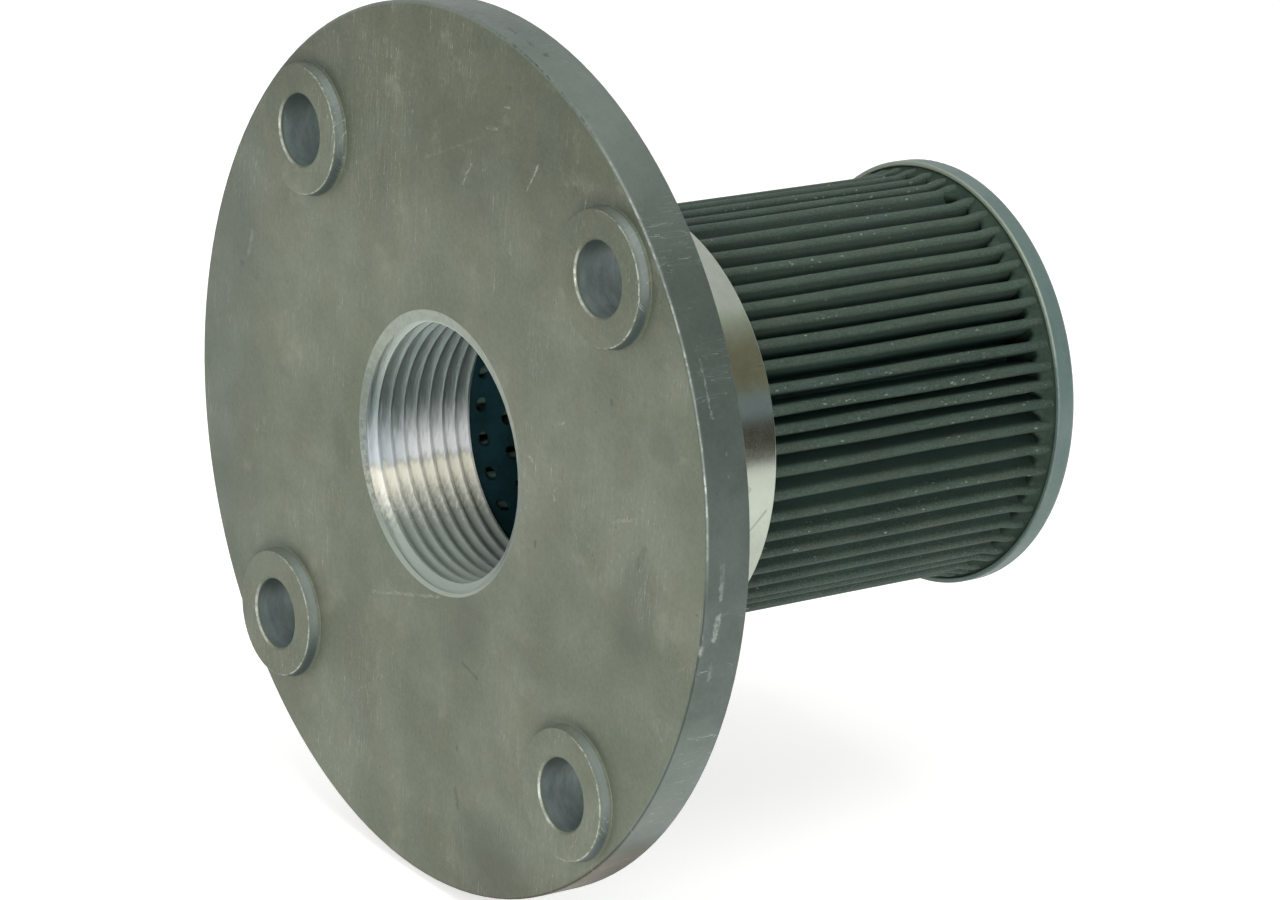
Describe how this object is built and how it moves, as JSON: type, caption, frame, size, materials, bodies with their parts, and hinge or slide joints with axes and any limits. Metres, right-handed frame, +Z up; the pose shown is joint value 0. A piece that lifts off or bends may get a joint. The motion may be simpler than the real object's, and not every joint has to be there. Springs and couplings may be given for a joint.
{
  "type": "flange-mounted suction strainer",
  "caption": "Round cast flange with raised bolt bosses and a central threaded port, carrying a bright sleeve and a pleated mesh strainer with an end cap.",
  "frame": {"origin": "centre of the bolt circle in the flange's seating face, which lies against the tank", "axes": "+Y along the element, into the tank; the port and the bolt bosses face -Y; +Z up, with the bolt holes at 45 degrees to X and Z"},
  "size_m": [0.133, 0.0963, 0.133],
  "materials": {
    "cast_aluminium": "as cast, dull olive grey, with machined bright port thread",
    "bright_steel": "bright plated",
    "dark_coated_steel": "dark satin",
    "wire_mesh": "woven, dull dark",
    "adhesive": "dull dark green",
    "grey_cap": "smooth satin grey"
  },
  "bodies": {
    "root": {"flange_head": "cast_aluminium", "element_sleeve": "bright_steel", "core_tube": "dark_coated_steel", "pleat_pack": "wire_mesh", "near_adhesive": "adhesive", "far_adhesive": "adhesive", "far_cap": "grey_cap"}
  },
  "joints": []
}
